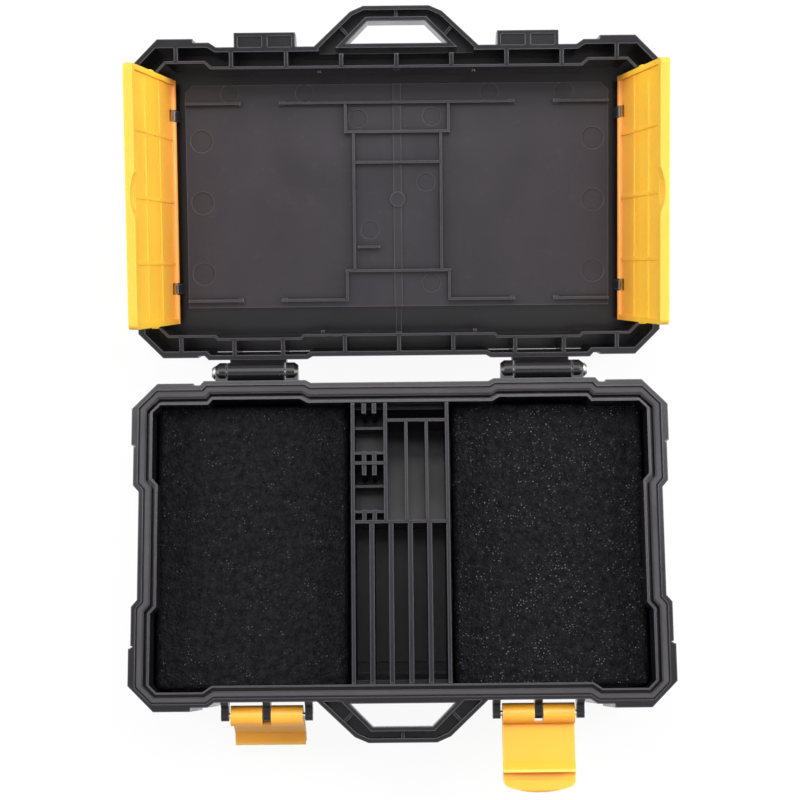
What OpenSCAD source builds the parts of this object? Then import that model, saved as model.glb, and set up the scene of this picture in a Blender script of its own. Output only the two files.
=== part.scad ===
// Memory card case: a hinged clamshell drawn lying open, with foam pads, a card
// rack, two flip doors in the lid and two toggle latches on the front.
// +X is to the right, +Y runs from the front to the hinges, +Z is up.
// The origin is the middle of the base's underside.

/* [Case plan] */
// Overall width over the side bumpers
case_w = 112.5; // [111:0.5:116]
// Overall depth over the front and rear bumpers
case_d = 68; // [67.5:0.5:71]
// Leg of the 45 degree cut across each corner
corner_cut = 5.3; // [4.6:0.1:6]
// Length of each corner bumper beside the cut
bumper_len = 7.6; // [6:0.1:8.4]
// How far the bumpers stand out from the shoulders
bumper_proud = 0.45; // [0.3:0.05:0.7]
// Width of the V notch between a side bumper and its shoulder
notch_w = 0.7; // [0.5:0.1:1]
// Drop from a side shoulder to the waist
side_step = 1.2; // [0.8:0.1:1.4]
// Length of the recessed waist on each side
side_waist = 22.4; // [18:0.2:26]
// Drop from the front bumper to its shoulder
front_shoulder = 0.8; // [0.5:0.1:1]
// Drop from the front shoulder to the long front wall
front_step = 1; // [0.8:0.1:1.2]
// Length of the long front wall as a share of the width
front_share_w = 0.683; // [0.675:0.001:0.7]
// How far the wall stands out behind each hinge
hinge_proud = 0.5; // [0.3:0.05:0.6]

/* [Shells] */
// Height of the base
base_h = 24; // [23:0.5:30]
// Height of the lid
lid_h = 16.4; // [15.8:0.1:16.6]
// Thickness of the base's floor
floor_t = 1.8; // [1.4:0.1:2.4]
// Thickness of the lid's top panel
panel_t = 2; // [1.6:0.1:2.2]
// Thickness of the lid's outer wall
wall_t = 1.05; // [0.9:0.05:1.5]
// Thickness of the lid's inner wall
skin_t = 0.55; // [0.5:0.05:0.8]
// Bevel round the outer face of both shells
face_bevel = 2.6; // [2:0.1:3]
// Gap between the two rims when the case is shut
rim_gap = 0.2; // [0.15:0.05:0.4]

/* [Seal] */
// Flat border of the rim outside the seal
border_w = 1; // [0.8:0.05:1.2]
// Width of the rubber seal
seal_w = 1.65; // [1.4:0.05:1.8]
// Height of the rubber seal
seal_h = 2; // [1.6:0.1:2.4]
// Thickness of the lip inside the seal groove
lip_t = 0.5; // [0.4:0.05:0.6]

/* [Hinges] */
// Distance from the rear bumpers back to the hinge axis
axis_back = 3; // [2.9:0.05:3.3]
// Distance from the base's rim down to the hinge axis
axis_drop = 4.5; // [4.3:0.1:5]
// Angle of the lid from shut to fully open
lid_open = 166; // [150:1:167]
// Radius of the hinge knuckles
knuckle_r = 2.15; // [1.9:0.05:2.2]
// Radius of the steel hinge pin
pin_r = 0.75; // [0.6:0.05:0.9]
// Distance between the hinges as a share of the width
hinge_share = 0.542; // [0.536:0.001:0.548]
// Length of the lid's barrel as a share of the raised wall behind it
barrel_share = 0.57; // [0.5:0.01:0.58]

/* [Latches] */
// Distance between the latches as a share of the width
latch_share = 0.4987; // [0.494:0.001:0.505]
// Width of each latch as a share of the width
latch_w_share = 0.1325; // [0.126:0.0005:0.134]
// Length of a latch from its pivot to its tip
latch_len = 16.1; // [15.6:0.1:17]
// Thickness of a latch's plate
latch_t = 1.4; // [1.1:0.1:1.5]
// Distance from the long front wall out to the latch pivot
pivot_out = 2.8; // [2.7:0.05:3]
// Distance from the base's rim down to the latch pivot
pivot_drop = 5.2; // [5:0.1:5.6]
// Radius of the latch pin
latch_pin_r = 0.6; // [0.45:0.05:0.7]
// Rise of the hook above a latch's plate
hook_h = 1.7; // [1.4:0.1:1.9]
// Distance from the pivot to the foot of the hook
hook_at = 9.6; // [9:0.1:10]
// How far a latch's rounded tip bows out
tip_bow = 1.5; // [1.2:0.1:2]
// Angle of the left latch below level
left_hang = 64; // [20:1:75]

/* [Handles] */
// Width of a handle where it meets the wall, as a share of the case
handle_share = 0.311; // [0.293:0.001:0.316]
// Width of its grip as a share of its root
grip_share = 0.4; // [0.39:0.005:0.44]
// How far a handle stands out from the long front wall
handle_out = 8.4; // [8:0.1:9]
// Depth of the finger opening
finger_d = 4.7; // [4.4:0.1:4.9]
// Thickness of a handle's walls
handle_wall = 0.9; // [0.8:0.05:1]
// Height of each half handle
handle_h = 7; // [5:0.1:9]

/* [Card rack] */
// Thickness of the rack's outer walls
rack_wall = 0.75; // [0.6:0.05:0.9]
// Depth of the long and medium card slots
slot_depth = 15; // [10:0.5:17]
// Depth of the small card cells
cell_depth = 9; // [6:0.5:12]
// Number of long slots at the front
long_slots = 5; // [3:1:6]
// Thickness of the ribs between the long slots
slot_rib = 1; // [0.7:0.05:1.2]
// Number of medium slots at the rear
medium_slots = 3; // [2:1:4]
// Thickness of the ribs between the other slots
thin_rib = 0.65; // [0.5:0.05:0.9]
// Width of the column of small card cells
cell_w = 6.1; // [5.7:0.1:6.5]

/* [Foam pads] */
// Distance from the rim down to the foam
foam_drop = 5.5; // [4.5:0.1:9]
// Gap left round the foam
foam_gap = 0.3; // [0.3:0.05:0.6]

/* [Flip doors] */
// Width of a door as a share of the tray's half width
door_share = 0.736; // [0.69:0.001:0.75]
// Gap between the ends of a door and the lid's walls
door_end_gap = 1.7; // [1.5:0.1:2.4]
// Angle of a door from folded down to fully open
door_open = 97; // [90:1:97]
// Thickness of a door's skin
door_skin = 1.1; // [0.8:0.05:1.2]
// Thickness of a door at its free edge
door_t = 1.9; // [1.6:0.1:1.9]

/* [Lid inside] */
// Distance from the tray's front edge to the front rail
rail_in = 4.2; // [3.8:0.1:5]
// Height of the rails above the tray
rail_h = 1.6; // [1.2:0.1:2.4]
// Thickness of the rails and the frame ribs
rail_t = 0.6; // [0.5:0.05:0.8]
// Thickness of the ribs across the hollow walls
rib_t = 0.85; // [0.6:0.05:1]
// Radius of the round ejector marks
mark_r = 2.4; // [1.8:0.1:2.7]

/* [Hidden] */
$fn = 48;
// One overrun for every cut
over = 0.5;
// Running clearance of pins in their bores
fit = 0.05;
// Gap left between neighbouring pieces that don't move
seat = 0.1;
// Side gap between knuckles, barrels and ears
side_gap = 0.2;

half_w = case_w / 2;
half_d = case_d / 2;
front_waist = case_w * front_share_w;
hinge_x = half_w * hinge_share;
latch_x = half_w * latch_share;
latch_w = case_w * latch_w_share;
cut_sum = half_w + half_d - corner_cut;
rear_drop = 0.4;
mid_drop = 0.1;
shoulder_x = half_w - bumper_proud;
waist_x = shoulder_x - side_step;
shoulder_y = half_d - front_shoulder;
waist_y = shoulder_y - front_step;
rear_y = half_d - rear_drop;
mid_y = half_d - mid_drop;
hinge_y = half_d + hinge_proud;
side_ramp = 1.4;
front_ramp = 1.5;
rear_ramp = 0.8;
mid_ramp = 1.1;
hinge_zone = hinge_x * 0.351;
barrel_len = hinge_zone * 2 * barrel_share;
axis_y = half_d + axis_back;
axis_z = base_h - axis_drop;

// Outline of the walls on the right, from the front round to the rear
right_walls = [
    [front_waist / 2, -waist_y],
    [front_waist / 2 + front_ramp, -shoulder_y],
    [cut_sum - shoulder_y, -shoulder_y],
    [shoulder_x, shoulder_x - cut_sum],
    [shoulder_x, -side_waist / 2 - side_ramp],
    [waist_x, -side_waist / 2],
    [waist_x, side_waist / 2],
    [shoulder_x, side_waist / 2 + side_ramp],
    [shoulder_x, cut_sum - shoulder_x],
    [cut_sum - rear_y, rear_y],
    [hinge_x + hinge_zone + rear_ramp, rear_y],
    [hinge_x + hinge_zone, hinge_y],
    [hinge_x - hinge_zone, hinge_y],
    [hinge_x - hinge_zone - mid_ramp, mid_y]];
// Share of each inset taken at each of those edges
right_share = [0.8, 0.79, 0.81, 0.99, 1, 1, 1, 0.99, 0.93, 1.05, 1.02, 1.01, 1.03];
mid_share = 1.08;
front_share = 0.86;

function flip(p) = [for (i = [len(p) - 1:-1:0]) [-p[i][0], p[i][1]]];
function back(v) = [for (i = [len(v) - 1:-1:0]) v[i]];
function unit(v) = v / norm(v);
walls = concat(right_walls, flip(right_walls));
share = concat(right_share, [mid_share], back(right_share), [front_share]);
evens = [for (s = share) 1];

// Moves every edge of a closed outline inwards by its own distance
function inset(p, d) = [for (i = [0:len(p) - 1])
    let (n = len(p), h = (i + n - 1) % n,
        u = unit(p[i] - p[h]), v = unit(p[(i + 1) % n] - p[i]),
        a = [-u[1], u[0]], b = [-v[1], v[0]],
        r = p[i] * a + d[h], s = p[i] * b + d[i],
        q = a[0] * b[1] - a[1] * b[0])
    [(r * b[1] - s * a[1]) / q, (a[0] * s - b[0] * r) / q]];
function rim_line(w) = inset(walls, w * share);

// Plain box between two opposite corners
module box(a, b) {
    translate(a)
        cube(b - a);
}

// Flat outline raised from one height to another
module slab(p, z0, z1) {
    translate([0, 0, z0])
        linear_extrude(z1 - z0)
            polygon(p);
}

// Profile drawn in Y and Z and pulled along X
module along_x(p, x0, x1) {
    translate([x0, 0, 0])
        rotate([90, 0, 90])
            linear_extrude(x1 - x0)
                polygon(p);
}

// Round bar along X
module rod(r, x0, x1) {
    translate([x0, 0, 0])
        rotate([0, 90, 0])
            cylinder(r = r, h = x1 - x0);
}

// Round bar along Y
module rod_y(r, y0, y1) {
    translate([0, y0, 0])
        rotate([-90, 0, 0])
            cylinder(r = r, h = y1 - y0);
}

// Draws its children on the right and mirrored on the left
module both() {
    children();
    mirror([1, 0, 0])
        children();
}

// Base shell
bumper_pts = [
    [cut_sum - half_d - bumper_len, half_d],
    [cut_sum - half_d - bumper_len, rear_y - over],
    [cut_sum - rear_y - over, rear_y - over],
    [shoulder_x - over, cut_sum - shoulder_x - over],
    [shoulder_x - over, cut_sum - half_w - bumper_len],
    [half_w, cut_sum - half_w - bumper_len],
    [half_w, cut_sum - half_w],
    [cut_sum - half_d, half_d]];
front_in = front_shoulder + over;
front_bumper_pts = [
    [cut_sum - half_d - bumper_len, -half_d],
    [cut_sum - half_d, -half_d],
    [half_w, half_w - cut_sum],
    [half_w, bumper_len + half_w - cut_sum],
    [shoulder_x - over, bumper_len + half_w - cut_sum],
    [shoulder_x - over, half_w - cut_sum + over],
    [cut_sum - half_d - over, front_in - half_d],
    [cut_sum - half_d - bumper_len, front_in - half_d]];
notch_y = cut_sum - half_w - bumper_len;
notch_deep = 0.5;

// Heading and distance of each bevelled edge
corner_reach = cut_sum / sqrt(2);
bevel_edges = [[0, half_w], [45, corner_reach], [90, half_d], [135, corner_reach],
    [180, half_w], [225, corner_reach], [270, half_d], [315, corner_reach]];

// Outside of a shell, its rim at the top
module shell_block(h) {
    difference() {
        union() {
            slab(walls, 0, h);
            both() {
                slab(bumper_pts, 0, h);
                slab(front_bumper_pts, 0, h);
            }
        }
        for (e = bevel_edges)
            rotate([90, 0, e[0]])
                translate([0, 0, -case_w])
                    linear_extrude(case_w + case_w)
                        polygon([[e[1] - face_bevel - over, -over], [e[1] + over, -over],
                            [e[1] + over, face_bevel + over]]);
        for (s = [-1, 1], t = [-1, 1])
            slab([[s * half_w, t * (notch_y - notch_w)],
                [s * (shoulder_x - notch_deep), t * (notch_y - notch_w / 2)],
                [s * half_w, t * notch_y]], -over, h + over);
    }
}

opening_in = 3.95;
lip_out = opening_in - lip_t;
groove_z = base_h - seal_h - seat;
pocket = rim_line(opening_in);

// Handle outline, seen from above
handle_root = half_w * handle_share;
handle_tip = handle_root * grip_share;
shoulder_share = 0.56;
shoulder_back = 1.2;
finger_share = 0.62;
finger_in = 0.5;
handle_rear = -waist_y + over;
grip_y = -waist_y - handle_out;
bend_y = grip_y + shoulder_back;
bend_x = handle_root * shoulder_share;
finger_y0 = -waist_y - finger_in;
finger_y1 = finger_y0 - finger_d;
finger_x0 = handle_root * finger_share;
finger_x1 = handle_tip - handle_wall;
handle_pts = [[-handle_root, handle_rear], [-handle_root, -waist_y], [-bend_x, bend_y],
    [-handle_tip, grip_y], [handle_tip, grip_y], [bend_x, bend_y],
    [handle_root, -waist_y], [handle_root, handle_rear]];
handle_evens = [for (p = handle_pts) 1];
handle_tall = [for (p = handle_pts) p[1] == handle_rear ? [p[0], 0] : p];
finger_pts = [[-finger_x0, finger_y0], [-finger_x1, finger_y1],
    [finger_x1, finger_y1], [finger_x0, finger_y0]];
finger_evens = [for (p = finger_pts) 1];
handle_floor = 1.4;
handle_rib = 0.7;
handle_rib_drop = 1.2;
// Middle and heading of the rib across each sloping leg
leg_mid = [(finger_x0 + finger_x1 + handle_root + bend_x) / 4,
    (finger_y0 + finger_y1 + bend_y - waist_y) / 4];
leg_turn = atan2(-waist_y - bend_y, handle_root - bend_x);
leg_reach = finger_d / 2;

// Half handle with its rim at the top; its hollow channel runs past the wall's face by reach
module handle(h, reach) {
    difference() {
        slab(handle_pts, h - handle_h, h);
        slab(finger_pts, h - handle_h - over, h + over);
        handle_channel(h, reach);
    }
}

// Hollow of a handle, round the finger opening
module handle_channel(h, reach) {
    difference() {
        slab(inset(handle_tall, handle_wall * handle_evens), h - handle_h + handle_floor, h + over);
        box([-handle_root, reach - waist_y, 0], [handle_root, over, h + over + over]);
        slab(inset(finger_pts, -handle_wall * finger_evens), -over, h + over + over);
        box([-handle_rib / 2, grip_y, 0], [handle_rib / 2, finger_y1, h - handle_rib_drop]);
        both()
            translate(leg_mid)
                rotate([0, 0, leg_turn])
                    box([-handle_rib / 2, -leg_reach, 0], [handle_rib / 2, leg_reach, h - handle_rib_drop]);
    }
}

// Bores and knuckles of the hinges
inner_end = hinge_x - barrel_len / 2 - side_gap;
outer_end = hinge_x + barrel_len / 2 + side_gap;
inner_knuckle = 2.65;
outer_knuckle = 2.3;
knuckle_nose = 0.8;
knuckle_tip_r = 1.55;
arm_low = 4.6;
arm_back = axis_back - hinge_proud + over;
knuckle_arm = [[-arm_back, -arm_low], [0, -knuckle_tip_r], [0, knuckle_tip_r], [-arm_back, knuckle_tip_r]];

// Knuckle whose outer end tapers; side is 1 when that end points away from the middle
module base_knuckle(x0, x1, side) {
    translate([0, axis_y, axis_z]) {
        rod(knuckle_r, side > 0 ? x0 : x0 + knuckle_nose, side > 0 ? x1 - knuckle_nose : x1);
        translate([side > 0 ? x1 - knuckle_nose : x0 + knuckle_nose, 0, 0])
            rotate([0, 90 * side, 0])
                cylinder(r1 = knuckle_r, r2 = knuckle_tip_r, h = knuckle_nose);
        along_x(knuckle_arm, x0, x1);
    }
}

// Ears that carry the latches
ear_t = 1.6;
ear_side = 0.42;
ear_pitch = (latch_w + ear_t) / 2 + ear_side;
ear_nose = 1.1;
ear_up = 3.3;
ear_down = 1.6;
latch_y = -waist_y - pivot_out;
latch_z = base_h - pivot_drop;
ear_root = pivot_out + over;
ear_flat = 1.6;
ear_pts = [[0, -ear_nose], [ear_root, -ear_down], [ear_root, ear_up], [ear_flat, ear_nose], [0, ear_nose]];

module ear(x) {
    translate([0, latch_y, latch_z]) {
        rod(ear_nose, x - ear_t / 2, x + ear_t / 2);
        along_x(ear_pts, x - ear_t / 2, x + ear_t / 2);
    }
}

module base_shell() {
    color("#4c4a4f")
    difference() {
        union() {
            difference() {
                shell_block(base_h);
                slab(pocket, floor_t, base_h + over);
                difference() {
                    slab(rim_line(border_w), groove_z, base_h + over);
                    slab(rim_line(lip_out), groove_z - over, base_h + over + over);
                }
            }
            handle(base_h, 0);
            both() {
                base_knuckle(inner_end - inner_knuckle, inner_end, -1);
                base_knuckle(outer_end, outer_end + outer_knuckle, 1);
                for (i = [-1:1])
                    ear(latch_x + i * ear_pitch);
            }
        }
        both() {
            translate([0, axis_y, axis_z])
                rod(pin_r + fit, inner_end - inner_knuckle - over, outer_end + outer_knuckle + over);
            translate([0, latch_y, latch_z])
                rod(latch_pin_r + fit, latch_x - ear_pitch - ear_t, latch_x + ear_pitch + ear_t);
        }
    }
}

// Seal
seal_side = 0.05;
seal_step = 0.3;
seal_top = base_h - seat;

module rim_seal() {
    color("#4b494d")
    for (k = [0, 1])
        difference() {
            slab(rim_line(border_w + seal_side + k * seal_step), groove_z + seal_side,
                seal_top + (k - 1) * seal_step);
            slab(rim_line(border_w + seal_w - k * seal_step), groove_z, seal_top + over);
        }
}

// Card rack
rack_l = -case_w * 0.0916;
rack_r = case_w * 0.0907;
rack_f = seat + opening_in * front_share - waist_y;
rack_b = mid_y - opening_in * mid_share - seat;
rack_len = rack_b - rack_f;
rack_foot = floor_t + seal_side;
rack_top = base_h - seat;
cross_y = rack_f + rack_len * 0.57;
bar_y = rack_b - rack_len * 0.064;
bar_x = rack_l + rack_wall + cell_w;
medium_x0 = bar_x + rack_wall;
slot_z = rack_top - slot_depth;
cell_z = rack_top - cell_depth;
rack_sill = 1;
long_pitch = (rack_r - rack_l - rack_wall - rack_wall + slot_rib) / long_slots;
medium_pitch = (rack_r - rack_wall - medium_x0 + thin_rib) / medium_slots;
// Small cells: two alike, one behind the other
cell_run = (rack_b - rack_wall - cross_y - thin_rib / 2 + thin_rib) / 2;
cell_y = [cross_y + thin_rib / 2, cross_y + thin_rib / 2 + cell_run];
low_rib_at = [0.145, 0.6];
low_rib_drop = [0.4, 3];
low_rib_t = 0.55;
stub_w = 0.9;
stub_x = [0.325, 0.675];
stub_len = 2.2;
stub_y = [cell_y[0] - over, cell_y[1] - thin_rib - stub_len,
    cell_y[1] - over, rack_b - stub_len];
stub_drop = 0.4;
ramp_share = 0.74;
ramp_rise = 7;
ramp_foot = 4;
cell_pit = 4;
gutter_y = [rack_f + 2.4, rack_f + 4.6];
gutter_deep = 1;
facet_run = 1.9;
facet_drop = 5;

module card_rack() {
    color("#454347")
    difference() {
        box([rack_l, rack_f, rack_foot], [rack_r, rack_b, rack_top]);
        // Hollow underneath
        hollow_z = slot_z - rack_sill;
        box([rack_l + rack_wall, rack_f + rack_wall, 0],
            [rack_r - rack_wall, cross_y - thin_rib, hollow_z - gutter_deep]);
        box([rack_l + rack_wall, cross_y, 0], [rack_r - rack_wall, rack_b - rack_wall, hollow_z]);
        // Long slots
        for (i = [0:long_slots - 1]) {
            x0 = rack_l + rack_wall + i * long_pitch;
            x1 = x0 + long_pitch - slot_rib;
            box([x0, gutter_y[0], slot_z], [x1, cross_y - thin_rib / 2, rack_top + over]);
            box([x0, gutter_y[0], slot_z - gutter_deep], [x1, gutter_y[1], slot_z + over]);
            along_x([[gutter_y[0] + over, slot_z], [gutter_y[0] + over, rack_top + over],
                [rack_f - over, rack_top + over], [rack_f - over, rack_top - facet_drop],
                [rack_f + rack_wall, rack_top - facet_drop],
                [rack_f + facet_run, slot_z]], x0, x1);
        }
        // Medium slots, deep at the rear, with a floor that rises towards the front
        slot_y0 = cross_y + thin_rib / 2;
        slot_y1 = bar_y - thin_rib / 2;
        ramp_y = slot_y0 + (slot_y1 - slot_y0) * ramp_share;
        for (i = [0:medium_slots - 1]) {
            x0 = medium_x0 + i * medium_pitch;
            x1 = x0 + medium_pitch - thin_rib;
            along_x([[slot_y0, slot_z + ramp_rise], [ramp_y, slot_z + ramp_foot], [ramp_y, slot_z],
                [slot_y1, slot_z], [slot_y1, rack_top + over], [slot_y0, rack_top + over]], x0, x1);
        }
        // Narrow well behind the medium slots
        box([medium_x0, bar_y + thin_rib / 2, slot_z],
            [rack_r - rack_wall, rack_b - rack_wall, rack_top + over]);
        box([medium_x0, bar_y + thin_rib / 2, rack_top - facet_drop],
            [rack_r - rack_wall, rack_b + over, rack_top + over]);
        // Small card cells with cross ribs and stubs left standing
        difference() {
            union() {
                box([rack_l + rack_wall, cross_y + thin_rib / 2, cell_z],
                    [bar_x, rack_b - rack_wall, rack_top + over]);
                box([rack_l + rack_wall, cell_y[1], rack_top - facet_drop],
                    [bar_x, rack_b + over, rack_top + over]);
                for (y = cell_y)
                    box([rack_l + rack_wall, y + cell_run * low_rib_at[1], cell_z - cell_pit],
                        [bar_x, y + cell_run - thin_rib, cell_z + over]);
            }
            box([rack_l, cell_y[1] - thin_rib, 0], [bar_x + over, cell_y[1], rack_top]);
            for (y = cell_y, k = [0, 1])
                translate([0, y + cell_run * low_rib_at[k], 0])
                    box([rack_l, -low_rib_t / 2, 0],
                        [bar_x + over, low_rib_t / 2, rack_top - low_rib_drop[k]]);
            for (f = stub_x, y = stub_y)
                translate([rack_l + rack_wall + cell_w * f, y, 0])
                    box([-stub_w / 2, 0, 0], [stub_w / 2, stub_len + over, rack_top - stub_drop]);
        }
    }
}

// Foam pads
foam_z = base_h - foam_drop;
foam_left_edge = -rack_l + foam_gap + foam_gap;
foam_right_edge = rack_r + foam_gap + foam_gap;

// Foam block cut to follow the inside of the walls
module foam(x0) {
    intersection() {
        slab(rim_line(opening_in + foam_gap), floor_t + foam_gap / 2, foam_z);
        box([x0, -half_d, 0], [half_w, half_d, base_h]);
    }
}

module foam_left() {
    color("#1c1b1e")
    mirror([1, 0, 0])
        foam(foam_left_edge);
}

module foam_right() {
    color("#1c1b1e")
    foam(foam_right_edge);
}

// Pins
pin_head_r = 1.45;
pin_head_t = 0.8;
pin_dome = 0.5;
pin_slack = 0.05;
head_x = outer_end + outer_knuckle + pin_slack;

module hinge_pin() {
    color("#b9bbc0")
    translate([0, axis_y, axis_z]) {
        rod(pin_r, inner_end - inner_knuckle, head_x + seat);
        rod(pin_head_r, head_x, head_x + pin_head_t - pin_dome);
        translate([head_x + pin_head_t - pin_dome, 0, 0])
            rotate([0, 90, 0])
                cylinder(r1 = pin_head_r, r2 = pin_head_r - pin_dome, h = pin_dome);
    }
}

module hinge_pin_left() {
    mirror([1, 0, 0])
        hinge_pin();
}

module hinge_pin_right() {
    hinge_pin();
}

module latch_pin() {
    color("#a9abb0")
    translate([0, latch_y, latch_z])
        rod(latch_pin_r, latch_x - ear_pitch - ear_t / 2, latch_x + ear_pitch + ear_t / 2);
}

module latch_pin_left() {
    mirror([1, 0, 0])
        latch_pin();
}

module latch_pin_right() {
    latch_pin();
}

// Latches
latch_r = 2.1;
plate_drop = 0.5;
ridge_run = 2.3;
scoop_run = 0.9;
scoop_r = 1.2;
tip_r = 0.7;
ear_clear = 0.12;
ear_reach = 1.6;
tip_round = (latch_w * latch_w / 4 + tip_bow * tip_bow) / tip_bow / 2;
tip_corner = 1.6;
tip_corner_x = latch_w / 2 - tip_corner;
tip_corner_y = tip_round - latch_len - sqrt(pow(tip_round - tip_corner, 2) - pow(tip_corner_x, 2));
tip_meet_x = tip_corner_x * tip_round / (tip_round - tip_corner);
ridge_flat = 0.35;

// Toggle latch lying flat, its pivot on the origin and its tip at the front
module latch_body() {
    difference() {
        union() {
            rod(latch_r, -latch_w / 2, latch_w / 2);
            along_x([[0, -plate_drop], [-hook_at, -plate_drop],
                [-hook_at - ridge_run, hook_h - plate_drop],
                [-hook_at - ridge_run - ridge_flat, hook_h - plate_drop],
                [-hook_at - ridge_run - scoop_run, -plate_drop],
                [tip_r - latch_len, -plate_drop],
                [tip_r - latch_len, -plate_drop - latch_t],
                [0, -plate_drop - latch_t]], -latch_w / 2, latch_w / 2);
            translate([0, tip_r - latch_len, -plate_drop - latch_t / 2])
                rod(latch_t / 2, -latch_w / 2, latch_w / 2);
        }
        // Bore
        rod(latch_pin_r + fit, -latch_w, latch_w);
        // Room for the middle ear
        box([-ear_t / 2 - ear_clear, -ear_reach, -latch_w], [ear_t / 2 + ear_clear, latch_w, latch_w]);
        // Bowed tip
        difference() {
            box([-latch_w, -latch_len - latch_w, -latch_w],
                [latch_w, tip_bow - latch_len + over, latch_w]);
            translate([0, tip_round - latch_len, -latch_w - over])
                cylinder(r = tip_round, h = 2 * latch_w + 2 * over, $fn = 180);
        }
        both()
            difference() {
                box([tip_meet_x, -latch_len - latch_w, -latch_w], [latch_w, tip_corner_y, latch_w]);
                translate([tip_corner_x, tip_corner_y, -latch_w - over])
                    cylinder(r = tip_corner, h = 2 * latch_w + 2 * over);
            }
        // Finger scoop in front of the hook
        translate([0, -hook_at - ridge_run - scoop_run, scoop_r - plate_drop - latch_t / 4])
            rod(scoop_r, -latch_w, latch_w);
    }
}

module latch_right() {
    color("#fabe50")
    translate([latch_x, latch_y, latch_z])
        latch_body();
}

module latch_left() {
    color("#fabe50")
    translate([-latch_x, latch_y, latch_z])
        rotate([left_hang, 0, 0])
            latch_body();
}

// Lid
lid_rim = base_h + rim_gap;
lid_floor = base_h + lid_h - panel_t + rim_gap;
card_floor_t = 1.05;
lid_top = lid_rim + lid_h;

// Turns the shut lid and all it carries to its open place
module open_lid() {
    translate([0, axis_y, axis_z])
        rotate([-lid_open, 0, 0])
            translate([0, -axis_y, -axis_z])
                children();
}

// Inside of the lid's inner wall
skin_x = waist_x - 2.25;
skin_f = waist_y - 4.07;
skin_f2 = shoulder_y - 3.83;
skin_f_x = [front_waist / 2 + 1, front_waist / 2 + 2.4];
skin_b = mid_y - 4.3;
skin_b2 = hinge_y - 4.2;
skin_b_x = [hinge_x - hinge_zone + 0.7, hinge_x - hinge_zone + 1.4,
    hinge_x + hinge_zone - 2.1, hinge_x + hinge_zone - 1.4];
skin_cut = 2.95;
skin_cut_b = 2.5;
right_skin = [[skin_f_x[0], -skin_f], [skin_f_x[1], -skin_f2], [skin_x - skin_cut, -skin_f2],
    [skin_x, skin_cut - skin_f2], [skin_x, skin_b - skin_cut_b], [skin_x - skin_cut_b, skin_b],
    [skin_b_x[3], skin_b], [skin_b_x[2], skin_b2], [skin_b_x[1], skin_b2], [skin_b_x[0], skin_b]];
skin = concat(right_skin, flip(right_skin));
skin_evens = [for (p = skin) 1];

front_rib_x = [for (i = [0:4]) i * case_w * 0.1044];
rear_rib_x = [0, case_w * 0.104, hinge_x - barrel_len * 0.443,
    hinge_x + barrel_len * 0.418, case_w * 0.418];
side_rib_y = [for (f = [-0.3, -0.13, 0.13, 0.3]) f * case_d];
peg_r = 0.55;
peg_out = 0.7;
peg_drop = 2.6;
peg_x = case_w * 0.147;
wall_strip_w = 1.3;
wall_strip_h = 0.25;

// Hinge arm of the lid
arm_gap = 1.3;
arm_top = 9.6;
arm_bend = 8.1;
arm_nose = 1;
arm_pts = [[-arm_gap, 0], [-arm_gap, axis_drop + rim_gap + over / 2],
    [-axis_back - over, axis_drop + rim_gap + over / 2], [-axis_back - over, arm_top],
    [-arm_nose, arm_bend], [knuckle_r, knuckle_r], [knuckle_r, 0]];

// Catch that a latch hooks over
catch_w = latch_w * 0.876;
catch_out = 3;
catch_gap = 0.3;
catch_ease = 0.62;
catch_wall = 0.8;
catch_dip = 0.35;
catch_rib = 1.3;
catch_hollow = (catch_w - catch_rib) / 2 - catch_wall;
catch_lean = ridge_run / hook_h;
catch_y = -waist_y - catch_out;
catch_z = latch_z + hook_at + (latch_y - catch_y + plate_drop) * catch_lean - catch_ease;
catch_pts = [[-waist_y + over, lid_rim], [catch_y, lid_rim], [catch_y, catch_z],
    [catch_y + hook_h - catch_gap, catch_z + (hook_h - catch_gap) * catch_lean],
    [-waist_y + over, catch_z + (hook_h - catch_gap) * catch_lean]];

// Pivot of a door, and the lug that holds it
door_x = skin_x - 3.05;
door_pivot_z = lid_floor - 4.9;
door_pin_r = 0.5;
door_shift = 0.45;
door_y0 = door_end_gap - skin_f + skin_t - door_shift;
door_y1 = skin_b - skin_t - door_end_gap - door_shift;
door_len = door_y1 - door_y0;
door_mid = (door_y0 + door_y1) / 2;
lug_y = [door_y0 + door_len * 0.145, door_y1 - door_len * 0.145];
lug_t = 2.2;
lug_r = 1.2;
lug_mouth = 0.42;

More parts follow.
